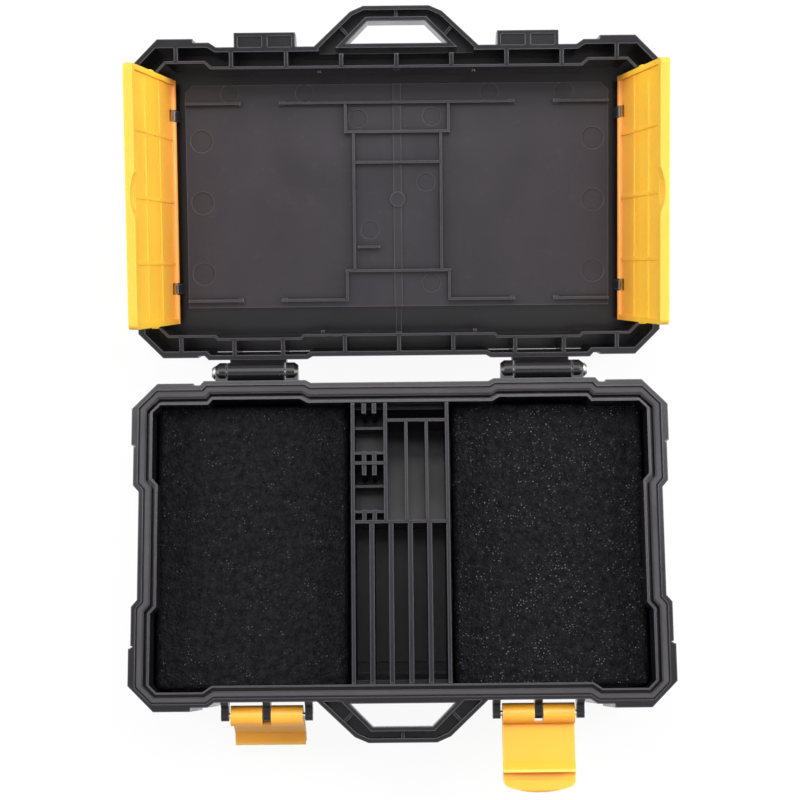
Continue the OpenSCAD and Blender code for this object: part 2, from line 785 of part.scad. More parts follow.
module lid_shell() {
    color("#47454a")
    open_lid()
    difference() {
        union() {
            difference() {
                translate([0, 0, lid_top])
                    mirror([0, 0, 1])
                        shell_block(lid_h);
                // Hollow walls with ribs across them
                difference() {
                    slab(inset(walls, wall_t * evens), lid_rim - over, lid_floor);
                    slab(skin, lid_rim - over - over, lid_floor + over);
                    both() {
                        for (x = front_rib_x)
                            box([x - rib_t / 2, -half_d, lid_rim], [x + rib_t / 2, 0, lid_floor]);
                        for (x = rear_rib_x)
                            box([x - rib_t / 2, 0, lid_rim], [x + rib_t / 2, half_d + over, lid_floor]);
                        for (y = side_rib_y)
                            box([skin_x - over, y - rib_t / 2, lid_rim],
                                [half_w, y + rib_t / 2, lid_floor]);
                    }
                }
                slab(inset(skin, skin_t * skin_evens), lid_rim - over, lid_floor);
            }
            // Flat strip down the middle of the front and rear walls and across the floor
            for (y = [[-skin_f, skin_t - skin_f + wall_strip_h], [skin_b - skin_t - wall_strip_h, skin_b]])
                box([-wall_strip_w / 2, y[0], lid_rim + peg_drop],
                    [wall_strip_w / 2, y[1], lid_floor + over]);
            box([-wall_strip_w / 2, tray_b + seat, lid_floor - wall_strip_h],
                [wall_strip_w / 2, skin_b, lid_floor + over]);
            translate([0, 0, lid_rim + base_h])
                mirror([0, 0, 1])
                    handle(base_h, 0);
            both() {
                translate([0, axis_y, axis_z]) {
                    rod(knuckle_r, hinge_x - barrel_len / 2, hinge_x + barrel_len / 2);
                    along_x(arm_pts, hinge_x - barrel_len / 2, hinge_x + barrel_len / 2);
                }
                difference() {
                    along_x(catch_pts, latch_x - catch_w / 2, latch_x + catch_w / 2);
                    for (x = [catch_rib / 2, -catch_rib / 2 - catch_hollow])
                        box([latch_x + x, catch_y + catch_wall, lid_rim - over],
                            [latch_x + x + catch_hollow, -waist_y, lid_rim + catch_dip]);
                }
                // Pegs near the rim
                for (s = [[-skin_f, skin_t - skin_f + peg_out], [skin_b - skin_t - peg_out, skin_b]])
                    translate([peg_x, 0, lid_rim + peg_drop])
                        rod_y(peg_r, s[0], s[1]);
                // Lugs with snap sockets for the doors
                for (y = lug_y) {
                    box([door_x - lug_r, y - lug_t / 2, door_pivot_z],
                        [door_x + lug_r, y + lug_t / 2, lid_floor + over]);
                    translate([door_x, 0, door_pivot_z])
                        rod_y(lug_r, y - lug_t / 2, y + lug_t / 2);
                }
            }
        }
        // Channel of the handle, open to the hollow wall
        translate([0, 0, lid_rim + base_h])
            mirror([0, 0, 1])
                handle_channel(base_h, wall_t + over);
        both() {
            translate([0, axis_y, axis_z])
                rod(pin_r + fit, hinge_x - barrel_len, hinge_x + barrel_len);
            for (y = lug_y) {
                translate([door_x, 0, door_pivot_z])
                    rod_y(door_pin_r + fit, y - lug_t, y + lug_t);
                box([door_x - lug_mouth, y - lug_t, door_pivot_z - lug_r - over],
                    [door_x + lug_mouth, y + lug_t, door_pivot_z]);
            }
        }
    }
}

// Card tray in the lid
tray_x = skin_x - 5.5;
tray_f = 2.5 - skin_f;
tray_b = skin_b - 6;
tray_len = tray_b - tray_f;
tray_cut = 1.7;
tray_top = lid_floor - card_floor_t;
tray_low = lid_floor - seal_side;
rail_f = tray_f + rail_in;
rail_b = tray_b - 1.6;
front_rail_x = tray_x * 0.555;
end_rail_x = [tray_x * 0.735, tray_x - 0.1];
frame_x = tray_x * 0.206;
stub_rail_x = tray_x * 0.2425;
frame_y = [for (f = [0.2154, 0.3516, 0.837]) tray_f + tray_len * f];
ridge_x = [tray_x * -0.191, tray_x * -0.086];
ridge_y = tray_f + tray_len * 0.73;
rail_end = 1.2;
rail_end_t = 1.1;
strip_w = 1.9;
strip_h = 0.3;
gate_r = 1.75;
gate_y = tray_f + tray_len * 0.517;
big_marks = [0.25, 0.526, 0.8455];
big_mark_x = tray_x - 3.5;
small_marks = [[-0.185, 0.155], [0.165, 0.148], [0.135, 0.44], [-0.133, 0.653], [0.158, 0.894]];
edge_marks = [0.436, 0.79];
mark_deep = 0.25;
small_mark = 0.8;

// Thin upright rib on the tray between two plan corners
module rib(x0, y0, x1, y1, h) {
    box([x0, y0, tray_top - h], [x1, y1, tray_top + over]);
}

// Low foot that thickens the free end of a rail
module rail_foot(x0, y) {
    rib(x0, y - rail_end_t / 2, x0 + rail_end, y + rail_end_t / 2, rail_h / 2);
}

module lid_tray() {
    color("#48444a")
    open_lid()
    difference() {
        union() {
            slab([[-tray_x, tray_f + tray_cut], [tray_cut - tray_x, tray_f], [tray_x - tray_cut, tray_f],
                [tray_x, tray_f + tray_cut], [tray_x, tray_b], [-tray_x, tray_b]], tray_top, tray_low);
            // Front and rear rails, each thicker at its free ends
            rib(-front_rail_x, rail_f - rail_t / 2, front_rail_x, rail_f + rail_t / 2, rail_h);
            both() {
                rail_foot(front_rail_x - rail_end, rail_f);
                for (y = [rail_f, rail_b]) {
                    rib(end_rail_x[0], y - rail_t / 2, end_rail_x[1], y + rail_t / 2, rail_h);
                    rail_foot(end_rail_x[0], y);
                }
                rib(stub_rail_x, rail_b - rail_t / 2, front_rail_x, rail_b + rail_t / 2, rail_h);
                rail_foot(front_rail_x - rail_end, rail_b);
                // Stubs and long ribs of the middle frame
                rib(stub_rail_x - rail_t / 2, rail_f, stub_rail_x + rail_t / 2,
                    frame_y[0] + rail_t / 2, rail_h);
                rib(stub_rail_x - rail_t / 2, frame_y[2] - rail_t / 2, stub_rail_x + rail_t / 2,
                    rail_b + rail_t / 2, rail_h);
                rib(frame_x - rail_t / 2, frame_y[0], frame_x + rail_t / 2, frame_y[2], rail_h);
            }
            for (y = [frame_y[0], frame_y[2]])
                rib(-stub_rail_x, y - rail_t / 2, stub_rail_x, y + rail_t / 2, rail_h);
            rib(-frame_x, frame_y[1] - rail_t / 2, frame_x, frame_y[1] + rail_t / 2, rail_h);
            rib(ridge_x[0], ridge_y - rail_t / 2, ridge_x[1], ridge_y + rail_t / 2, rail_h);
            rib(-strip_w / 2, tray_f, strip_w / 2, tray_b, strip_h);
            translate([0, gate_y, tray_top - strip_h - strip_h])
                cylinder(r = gate_r, h = strip_h + strip_h + over);
        }
        // Round ejector marks
        both() {
            for (f = big_marks)
                translate([big_mark_x, tray_f + tray_len * f, tray_top - over])
                    cylinder(r = mark_r, h = mark_deep + over);
            for (f = edge_marks)
                translate([tray_x * f, tray_f + mark_r * small_mark, tray_top - over])
                    cylinder(r = mark_r * small_mark, h = mark_deep + over);
        }
        for (p = small_marks)
            translate([tray_x * p[0], tray_f + tray_len * p[1], tray_top - over])
                cylinder(r = mark_r * small_mark, h = mark_deep + over);
    }
}

// Flip doors
door_w = tray_x * door_share;
door_edge = 2;
door_side = 1.1;
door_barrel = 0.95;
// Where each sloping band of the skin ends, as shares of the width
door_bands = [0.19, 0.335, 0.66, 0.94];
band_step = 0.18;
door_cross = [0.24, 0.497, 0.75];
door_corner = 1.1;
cross_t = 0.7;
cross_drop = 0.5;
door_notch_in = 2.6;
nub_w = 2.4;
nub_r = 0.7;
nub_out = 0.35;
scoop_len = 9.4;
scoop_deep = 1;
scoop_in = 3.2;
scoop_y = door_mid - 0.3;
door_scoop_r = (scoop_len * scoop_len / 4 + scoop_deep * scoop_deep) / scoop_deep / 2;
door_gap = lug_t + side_gap + side_gap;
skin_z = door_skin - door_t / 2;
band_pts = concat([[0, -door_t / 2], [0, skin_z]],
    [for (i = [0:len(door_bands) - 2], k = [0, 1])
        [-door_w * door_bands[i + k], skin_z + (k == 1 ? band_step : 0)]],
    [[-door_w, skin_z + band_step], [-door_w, -door_t / 2]]);

// Door folded flat, its pivot on the origin and its free edge towards -X
module door_body() {
    difference() {
        union() {
            // Skin in sloping bands
            translate([0, door_y1, 0])
                rotate([90, 0, 0])
                    linear_extrude(door_len)
                        polygon(band_pts);
            // Thick free edge and ends
            box([-door_w, door_y0, -door_t / 2], [door_edge - door_w, door_y1, door_t / 2]);
            for (y = [door_y0, door_y1 - door_side])
                box([-door_w, y, -door_t / 2], [0, y + door_side, door_t / 2 - band_step]);
            // Ribs across the door
            for (f = door_cross)
                box([-door_w, door_y0 + door_len * f - cross_t / 2, -door_t / 2],
                    [0, door_y0 + door_len * f + cross_t / 2, door_t / 2 - cross_drop]);
            rod_y(door_barrel, door_y0, door_y1);
            // Rounded nubs at both ends
            for (y = [door_y0, door_y1])
                translate([-door_w / 2, y, 0])
                    box([-nub_w / 2, -nub_out, -door_t / 4], [nub_w / 2, nub_out, door_t / 4]);
        }
        // Room for the lid's lugs
        for (y = lug_y)
            box([-door_notch_in, y - door_gap / 2, -door_t], [door_notch_in, y + door_gap / 2, door_t]);
        // Rounded corners of the free edge
        for (s = [[door_y0, -1], [door_y1, 1]])
            difference() {
                translate([-door_w, s[0], 0])
                    box([-over, s[1] < 0 ? -over : -door_corner, -door_t],
                        [door_corner, s[1] < 0 ? door_corner : over, door_t]);
                translate([door_corner - door_w, s[0] - s[1] * door_corner, -door_t])
                    cylinder(r = door_corner, h = door_t + door_t);
            }
        // Thumb scoop in the free edge
        translate([-door_w - over, scoop_y, door_t / 2 - scoop_deep + door_scoop_r])
            rotate([0, 90, 0])
                cylinder(r = door_scoop_r, h = scoop_in + over, $fn = 180);
    }
    rod_y(door_pin_r, door_y0 + door_side, door_y1 - door_side);
}

module door_right() {
    color("#ffd246")
    open_lid()
        translate([door_x, 0, door_pivot_z])
            rotate([0, -door_open, 0])
                door_body();
}

module door_left() {
    color("#ffd246")
    mirror([1, 0, 0])
        open_lid()
            translate([door_x, 0, door_pivot_z])
                rotate([0, -door_open, 0])
                    door_body();
}

base_shell();
rim_seal();
card_rack();
foam_left();
foam_right();
hinge_pin_left();
hinge_pin_right();
latch_pin_left();
latch_pin_right();
latch_left();
latch_right();
lid_shell();
lid_tray();
door_left();
door_right();
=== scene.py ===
"""Memory card case lying open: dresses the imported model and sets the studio."""

import math

import bpy
from mathutils import Matrix, Vector, noise


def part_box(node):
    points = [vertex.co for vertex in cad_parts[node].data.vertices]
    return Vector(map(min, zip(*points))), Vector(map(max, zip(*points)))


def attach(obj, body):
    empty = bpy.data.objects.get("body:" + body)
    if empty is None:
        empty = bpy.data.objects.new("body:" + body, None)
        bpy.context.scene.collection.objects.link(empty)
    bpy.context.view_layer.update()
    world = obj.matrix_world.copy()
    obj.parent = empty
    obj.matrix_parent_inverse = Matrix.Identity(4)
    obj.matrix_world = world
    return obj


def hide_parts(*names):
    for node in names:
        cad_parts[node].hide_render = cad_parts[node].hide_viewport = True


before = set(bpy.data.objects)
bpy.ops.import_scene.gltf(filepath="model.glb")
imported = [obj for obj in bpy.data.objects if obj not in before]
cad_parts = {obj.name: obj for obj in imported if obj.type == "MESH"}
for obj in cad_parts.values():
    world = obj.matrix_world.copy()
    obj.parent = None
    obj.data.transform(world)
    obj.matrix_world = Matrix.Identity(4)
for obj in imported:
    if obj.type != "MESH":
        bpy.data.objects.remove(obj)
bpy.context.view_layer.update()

MM = 0.001
BASE_TOP = Vector(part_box("base_shell")[1])
RIM_Z = BASE_TOP.z


# Small helpers

# The sRGB curve
BYTE_TOP = 255
SRGB_TOE_END = 0.04045
SRGB_TOE_SLOPE = 12.92
SRGB_OFFSET = 0.055
SRGB_POWER = 2.4


def linear(hex_text):
    """Linear colour from the sRGB value that a finish is named by."""
    parts = [int(hex_text[i:i + 2], 16) / BYTE_TOP for i in (0, 2, 4)]
    return [p / SRGB_TOE_SLOPE if p <= SRGB_TOE_END
            else ((p + SRGB_OFFSET) / (1 + SRGB_OFFSET)) ** SRGB_POWER for p in parts] + [1.0]


def mesh_object(name, verts, faces, smooth=True):
    mesh = bpy.data.meshes.new(name)
    mesh.from_pydata(verts, [], faces)
    mesh.update()
    for polygon in mesh.polygons:
        polygon.use_smooth = smooth
    thing = bpy.data.objects.new(name, mesh)
    bpy.context.scene.collection.objects.link(thing)
    return thing


# Shader groups shared by the finishes; pattern scales are in features per metre

DARK = (0.05, 0.05, 0.05, 1)
BLACK = (0.01, 0.01, 0.01, 1)
RUBBED = (0.1, 0.1, 0.1, 1)
# Default edge colour: a painted highlight on edges, partly rubbed wear
SCUFF_AND_SHEEN = (0.2, 0.2, 0.2, 1)
PALE_SPECK = (0.4, 0.4, 0.4, 1)
FLOW_SCALE = 90.0
RUB_SCALE = 420.0
DUST_PATCH_SCALE = 260.0
RUB_MOST = 0.6
FLOW_TONE = 0.2
PATCH_FULL = 0.62
# Where each pattern's value starts to count and where it counts in full
RUB_BAND = (0.55, 0.8)
FLOW_BAND = (0.35, 0.7)
GLOSS_BAND = (0.3, 0.7)
FAINT_BAND = (0.25, 0.75)
# The crevice band sets the painted shade in corners, the edge band the painted edge highlight
CORNER_SHADE_BAND = (0.35, 0.95)
EDGE_BAND = (0.45, 0.85)
PROBE_SAMPLES = 6
# Colour sockets of the Mix node
MIX_FIRST, MIX_SECOND, MIX_RESULT = 6, 7, 2


def make_group(name, inputs, outputs):
    group = bpy.data.node_groups.new(name, "ShaderNodeTree")
    for label, kind, value in inputs:
        socket = group.interface.new_socket(label, in_out="INPUT", socket_type=kind)
        socket.default_value = value
    for label, kind in outputs:
        group.interface.new_socket(label, in_out="OUTPUT", socket_type=kind)
    entry = group.nodes.new("NodeGroupInput")
    leave = group.nodes.new("NodeGroupOutput")
    return group, entry, leave


def noise_node(group, coords, scale, detail=4.0, rough=0.5):
    node = group.nodes.new("ShaderNodeTexNoise")
    node.inputs["Detail"].default_value = detail
    node.inputs["Roughness"].default_value = rough
    group.links.new(coords, node.inputs["Vector"])
    if isinstance(scale, float):
        node.inputs["Scale"].default_value = scale
    else:
        group.links.new(scale, node.inputs["Scale"])
    return node


def ranged(group, value, low, high, to_low, to_high):
    """Map Range node; each limit is a number or a socket."""
    node = group.nodes.new("ShaderNodeMapRange")
    group.links.new(value, node.inputs["Value"])
    limits = (("From Min", low), ("From Max", high), ("To Min", to_low), ("To Max", to_high))
    for label, limit in limits:
        if isinstance(limit, (int, float)):
            node.inputs[label].default_value = limit
        else:
            group.links.new(limit, node.inputs[label])
    return node.outputs["Result"]


def mixed(group, factor, first, second):
    node = group.nodes.new("ShaderNodeMix")
    node.data_type = "RGBA"
    group.links.new(factor, node.inputs["Factor"])
    for index, colour in ((MIX_FIRST, first), (MIX_SECOND, second)):
        if isinstance(colour, (list, tuple)):
            node.inputs[index].default_value = colour
        else:
            group.links.new(colour, node.inputs[index])
    return node.outputs[MIX_RESULT]


def moulded_grain_group():
    """Fine grain, faint flow marks and rubbed patches of moulded plastic."""
    group, entry, leave = make_group(
        "moulded_grain",
        [("Colour", "NodeSocketColor", DARK),
         ("Worn Colour", "NodeSocketColor", RUBBED),
         ("Grain Scale", "NodeSocketFloat", 3000.0),
         ("Smoothest", "NodeSocketFloat", 0.35),
         ("Roughest", "NodeSocketFloat", 0.6)],
        [("Colour", "NodeSocketColor"),
         ("Roughness", "NodeSocketFloat"),
         ("Height", "NodeSocketFloat")])
    coords = group.nodes.new("ShaderNodeTexCoord").outputs["Object"]
    grain = noise_node(group, coords, entry.outputs["Grain Scale"], detail=3.0, rough=0.6)
    flow = noise_node(group, coords, FLOW_SCALE, detail=4.0, rough=0.55)
    rubs = noise_node(group, coords, RUB_SCALE, detail=6.0, rough=0.7)
    worn = ranged(group, rubs.outputs["Fac"], *RUB_BAND, 0.0, RUB_MOST)
    tone = ranged(group, flow.outputs["Fac"], *FLOW_BAND, 0.0, FLOW_TONE)
    total = group.nodes.new("ShaderNodeMath")
    total.operation = "ADD"
    total.use_clamp = True
    group.links.new(worn, total.inputs[0])
    group.links.new(tone, total.inputs[1])
    colour = mixed(group, total.outputs[0], entry.outputs["Colour"], entry.outputs["Worn Colour"])
    group.links.new(colour, leave.inputs["Colour"])
    rough = ranged(group, flow.outputs["Fac"], *GLOSS_BAND,
                   entry.outputs["Smoothest"], entry.outputs["Roughest"])
    group.links.new(rough, leave.inputs["Roughness"])
    group.links.new(grain.outputs["Fac"], leave.inputs["Height"])
    return group


def dust_and_glint_group():
    """Sparse pale specks in patches on dark surfaces, some fainter than others: dust on the plastics,
    painted glints of catching cells on the foam.
    """
    group, entry, leave = make_group(
        "dust_and_glint_specks",
        [("Colour", "NodeSocketColor", DARK),
         ("Speck Colour", "NodeSocketColor", PALE_SPECK),
         ("Speck Scale", "NodeSocketFloat", 700.0),
         ("Speck Size", "NodeSocketFloat", 0.1),
         ("Bare Share", "NodeSocketFloat", 0.52)],
        [("Colour", "NodeSocketColor")])
    coords = group.nodes.new("ShaderNodeTexCoord").outputs["Object"]
    cells = group.nodes.new("ShaderNodeTexVoronoi")
    group.links.new(coords, cells.inputs["Vector"])
    group.links.new(entry.outputs["Speck Scale"], cells.inputs["Scale"])
    near = ranged(group, cells.outputs["Distance"], entry.outputs["Speck Size"], 0.0, 0.0, 1.0)
    patches = noise_node(group, coords, DUST_PATCH_SCALE, detail=2.0)
    gate = ranged(group, patches.outputs["Fac"], entry.outputs["Bare Share"], PATCH_FULL, 0.0, 1.0)
    mask = group.nodes.new("ShaderNodeMath")
    mask.operation = "MULTIPLY"
    group.links.new(near, mask.inputs[0])
    faint = ranged(group, cells.outputs["Color"], *FAINT_BAND, 0.0, 1.0)
    patchy = group.nodes.new("ShaderNodeMath")
    patchy.operation = "MULTIPLY"
    group.links.new(gate, patchy.inputs[0])
    group.links.new(faint, patchy.inputs[1])
    group.links.new(patchy.outputs[0], mask.inputs[1])
    group.links.new(mixed(group, mask.outputs[0], entry.outputs["Colour"], entry.outputs["Speck Colour"]),
                    leave.inputs["Colour"])
    return group


def shade_sheen_and_wear_group():
    """Painted shade that darkens the crevices and corners, and a painted highlight that pales the edges
    and rib tops, partly rubbed wear.
    """
    group, entry, leave = make_group(
        "corner_shade_edge_sheen_and_wear",
        [("Colour", "NodeSocketColor", DARK),
         ("Crevice Colour", "NodeSocketColor", BLACK),
         ("Edge Colour", "NodeSocketColor", SCUFF_AND_SHEEN),
         ("Corner Shade Reach", "NodeSocketFloat", 2 * MM),
         ("Edge Reach", "NodeSocketFloat", 0.4 * MM),
         ("Edge Share", "NodeSocketFloat", 0.65)],
        [("Colour", "NodeSocketColor")])

    def hidden_share(label, inside):
        probe = group.nodes.new("ShaderNodeAmbientOcclusion")
        probe.samples = PROBE_SAMPLES
        probe.only_local = True
        probe.inside = inside
        group.links.new(entry.outputs[label], probe.inputs["Distance"])
        return probe.outputs["AO"]

    # Painted shade: darker where nearby surfaces hide the point
    corner_shade = ranged(group, hidden_share("Corner Shade Reach", False), *CORNER_SHADE_BAND, 1.0, 0.0)
    # Painted highlight on edges and rib tops, partly wear from handling
    edge = ranged(group, hidden_share("Edge Reach", True), *EDGE_BAND,
                  entry.outputs["Edge Share"], 0.0)
    shaded_corners = mixed(group, corner_shade, entry.outputs["Colour"], entry.outputs["Crevice Colour"])
    group.links.new(mixed(group, edge, shaded_corners, entry.outputs["Edge Colour"]), leave.inputs["Colour"])
    return group


GRAIN = moulded_grain_group()
SHADE_SHEEN_AND_WEAR = shade_sheen_and_wear_group()
DUST_AND_GLINTS = dust_and_glint_group()


# Finishes

EDGE_ROUND = 0.12 * MM
SEAL_ROUND = 0.4 * MM
BEVEL_SAMPLES = 4
PLASTIC_GRAIN_DEEP = 0.04 * MM
YELLOW_GRAIN_DEEP = 0.03 * MM
SEAL_GRAIN_DEEP = 0.03 * MM
STEEL_GRAIN_DEEP = 0.02 * MM
FOAM_CELL_DEEP = 0.2 * MM
GLOW_WEIGHT = 0.35
GLOW_REACH = (4 * MM, 2 * MM, 0.6 * MM)
GLOW_SCALE = 0.6
FOAM_CELL_SCALE = 1900.0
FOAM_CLUMP_SCALE = 700.0
FOAM_SHINE = 0.12
# Distances from a cell's middle over which its height falls, and the clump values over
# which the tone lightens
FOAM_BULGE_BAND = (0.1, 0.75)
FOAM_CLUMP_BAND = (0.35, 0.7)
FOAM_SMOOTHEST, FOAM_ROUGHEST = 0.8, 1.0


def new_material(name, viewport):
    material = bpy.data.materials.new(name)
    material.use_nodes = True
    material.diffuse_color = viewport
    return material, material.node_tree, material.node_tree.nodes["Principled BSDF"]


def place(tree, group, **values):
    node = tree.nodes.new("ShaderNodeGroup")
    node.node_tree = group
    for label, value in values.items():
        node.inputs[label.replace("_", " ")].default_value = value
    return node


def bump_into(tree, shader, height, distance, strength, edge=EDGE_ROUND):
    """Bump over softly rounded edges, into the shader's normal."""
    rounding = tree.nodes.new("ShaderNodeBevel")
    rounding.samples = BEVEL_SAMPLES
    rounding.inputs["Radius"].default_value = edge
    bump = tree.nodes.new("ShaderNodeBump")
    bump.inputs["Distance"].default_value = distance
    bump.inputs["Strength"].default_value = strength
    tree.links.new(height, bump.inputs["Height"])
    tree.links.new(rounding.outputs["Normal"], bump.inputs["Normal"])
    tree.links.new(bump.outputs["Normal"], shader.inputs["Normal"])


def plastic(name, colour, worn, corner_shade, edge, smooth, rough, grain_scale=3200.0, strength=0.35,
            dusty=True, shine=0.3):
    material, tree, shader = new_material(name, colour)
    grain = place(tree, GRAIN, Colour=colour, Worn_Colour=worn, Grain_Scale=grain_scale,
                  Smoothest=smooth, Roughest=rough)
    # Painted shade in the crevices and a painted highlight on the edges, partly rubbed wear
    shade_sheen_and_wear = place(tree, SHADE_SHEEN_AND_WEAR, Crevice_Colour=corner_shade, Edge_Colour=edge)
    tree.links.new(grain.outputs["Colour"], shade_sheen_and_wear.inputs["Colour"])
    out = shade_sheen_and_wear.outputs["Colour"]
    if dusty:
        specks = place(tree, DUST_AND_GLINTS, Speck_Colour=linear("8a888c"), Speck_Scale=520.0, Speck_Size=0.055)
        tree.links.new(out, specks.inputs["Colour"])
        out = specks.outputs["Colour"]
    tree.links.new(out, shader.inputs["Base Color"])
    tree.links.new(grain.outputs["Roughness"], shader.inputs["Roughness"])
    shader.inputs["Specular IOR Level"].default_value = shine
    bump_into(tree, shader, grain.outputs["Height"], PLASTIC_GRAIN_DEEP, strength)
    return material


def yellow_plastic(name, hinge_shade, middle, free_edge_shade, direction, start, end):
    """Yellow plastic that lets light through, with painted light and shade along it: deeper orange and
    darker towards its hinge, brightest in the middle, a little darker at the free edge.
    """
    material, tree, shader = new_material(name, middle)
    coords = tree.nodes.new("ShaderNodeTexCoord").outputs["Object"]
    along = tree.nodes.new("ShaderNodeVectorMath")
    along.operation = "DOT_PRODUCT"
    along.inputs[1].default_value = direction
    tree.links.new(coords, along.inputs[0])
    span = ranged(tree, along.outputs["Value"], start, end, 0.0, 1.0)
    light_and_shade_ramp = tree.nodes.new("ShaderNodeValToRGB")
    light_and_shade_ramp.color_ramp.elements[0].color = hinge_shade
    light_and_shade_ramp.color_ramp.elements[1].color = free_edge_shade
    light_and_shade_ramp.color_ramp.elements.new(0.5).color = middle
    tree.links.new(span, light_and_shade_ramp.inputs["Fac"])
    grain = place(tree, GRAIN, Grain_Scale=2600.0, Smoothest=0.3, Roughest=0.48)
    tree.links.new(light_and_shade_ramp.outputs["Color"], grain.inputs["Colour"])
    tree.links.new(light_and_shade_ramp.outputs["Color"], grain.inputs["Worn Colour"])
    tree.links.new(grain.outputs["Colour"], shader.inputs["Base Color"])
    tree.links.new(grain.outputs["Roughness"], shader.inputs["Roughness"])
    shader.inputs["Subsurface Weight"].default_value = GLOW_WEIGHT
    shader.inputs["Subsurface Radius"].default_value = GLOW_REACH
    shader.inputs["Subsurface Scale"].default_value = GLOW_SCALE
    bump_into(tree, shader, grain.outputs["Height"], YELLOW_GRAIN_DEEP, strength=0.25)
    return material


def seal_rubber():
    """Soft dull rubber with a rounded edge."""
    material, tree, shader = new_material("seal_rubber", linear("4b494d"))
    grain = place(tree, GRAIN, Colour=linear("2f2d31"), Worn_Colour=linear("413f43"),
                  Grain_Scale=1500.0, Smoothest=0.62, Roughest=0.85)
    specks = place(tree, DUST_AND_GLINTS, Speck_Colour=linear("7a787c"), Speck_Scale=900.0, Speck_Size=0.07)
    tree.links.new(grain.outputs["Colour"], specks.inputs["Colour"])
    tree.links.new(specks.outputs["Colour"], shader.inputs["Base Color"])
    tree.links.new(grain.outputs["Roughness"], shader.inputs["Roughness"])
    bump_into(tree, shader, grain.outputs["Height"], SEAL_GRAIN_DEEP, strength=0.3,
              edge=SEAL_ROUND)
    return material


def open_cell_foam(name, speck_size, bare_share):
    """Black foam with a fine cellular surface and pale specks that are painted glints of its cells; one
    pad has more of them, as more light falls on it.
    """
    material, tree, shader = new_material(name, linear("1c1b1e"))
    coords = tree.nodes.new("ShaderNodeTexCoord").outputs["Object"]
    cells = tree.nodes.new("ShaderNodeTexVoronoi")
    cells.feature = "F1"
    cells.inputs["Scale"].default_value = FOAM_CELL_SCALE
    tree.links.new(coords, cells.inputs["Vector"])
    clumps = noise_node(tree, coords, FOAM_CLUMP_SCALE, detail=5.0, rough=0.65)
    bulge = ranged(tree, cells.outputs["Distance"], *FOAM_BULGE_BAND, 1.0, 0.0)
    tone = ranged(tree, clumps.outputs["Fac"], *FOAM_CLUMP_BAND, 0.0, 1.0)
    shade = mixed(tree, tone, linear("020203"), linear("1a191c"))
    specks = place(tree, DUST_AND_GLINTS, Speck_Colour=linear("8c8a8e"), Speck_Scale=1800.0,
                 Speck_Size=speck_size, Bare_Share=bare_share)
    tree.links.new(shade, specks.inputs["Colour"])
    tree.links.new(specks.outputs["Colour"], shader.inputs["Base Color"])
    rough = ranged(tree, bulge, 0.0, 1.0, FOAM_SMOOTHEST, FOAM_ROUGHEST)
    tree.links.new(rough, shader.inputs["Roughness"])
    height = tree.nodes.new("ShaderNodeMath")
    height.operation = "ADD"
    tree.links.new(bulge, height.inputs[0])
    tree.links.new(clumps.outputs["Fac"], height.inputs[1])
    bump_into(tree, shader, height.outputs[0], FOAM_CELL_DEEP, strength=0.8)
    shader.inputs["Specular IOR Level"].default_value = FOAM_SHINE
    return material


def turned_steel():
    """Bright steel of the pins, with fine turning marks."""
    material, tree, shader = new_material("turned_steel", linear("b9bbc0"))
    shader.inputs["Metallic"].default_value = 1.0
    grain = place(tree, GRAIN, Colour=linear("a9abb0"), Worn_Colour=linear("d5d6da"),
                  Grain_Scale=5000.0, Smoothest=0.22, Roughest=0.4)
    tree.links.new(grain.outputs["Colour"], shader.inputs["Base Color"])
    tree.links.new(grain.outputs["Roughness"], shader.inputs["Roughness"])
    bump_into(tree, shader, grain.outputs["Height"], STEEL_GRAIN_DEEP, strength=0.3)
    return material


LID_TILT = math.radians(14)
LID_UP = Vector((0, -math.sin(LID_TILT), math.cos(LID_TILT)))
DOOR_LOW, DOOR_HIGH = (Vector(v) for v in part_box("door_right"))
door_span = sorted(LID_UP.dot(Vector((0, y, z)))
                   for y, z in ((DOOR_LOW.y, DOOR_LOW.z), (DOOR_HIGH.y, DOOR_HIGH.z)))

# The crevice colours are painted shade in corners; the edge colours are painted highlights on edges,
# partly rubbed wear
shell_finish = plastic(
    "shell_plastic", colour=linear("121115"), worn=linear("1b191e"), corner_shade=linear("040405"),
    edge=linear("625f64"), smooth=0.17, rough=0.27)
tray_finish = plastic(
    "tray_plastic", colour=linear("26222a"), worn=linear("38333c"), corner_shade=linear("0a090b"),
    edge=linear("6a676c"), smooth=0.3, rough=0.42, grain_scale=2600.0, shine=0.36)
rack_finish = plastic(
    "rack_plastic", colour=linear("16141a"), worn=linear("201e24"), corner_shade=linear("030304"),
    edge=linear("5a585c"), smooth=0.26, rough=0.38, shine=0.2)
latch_finish = plastic(
    "latch_plastic", colour=linear("fbae36"), worn=linear("fcb742"), corner_shade=linear("e08a20"),
    edge=linear("ffd070"), smooth=0.3, rough=0.45, grain_scale=2600.0, strength=0.2,
    dusty=False, shine=0.5)
# The door's ramp is painted light and shade: deeper orange towards the hinge, brightest in the middle
door_finish = yellow_plastic(
    "door_plastic", hinge_shade=linear("f7a03c"), middle=linear("ffc93c"),
    free_edge_shade=linear("e6b83e"), direction=LID_UP, start=door_span[0], end=door_span[1])
seal_finish = seal_rubber()
# The foam's pale specks are painted glints; the right pad has more, as it is lit more
foam_finishes = {
    "left": open_cell_foam("left_foam", speck_size=0.24, bare_share=0.47),
    "right": open_cell_foam("right_foam", speck_size=0.29, bare_share=0.34),
}
steel_finish = turned_steel()

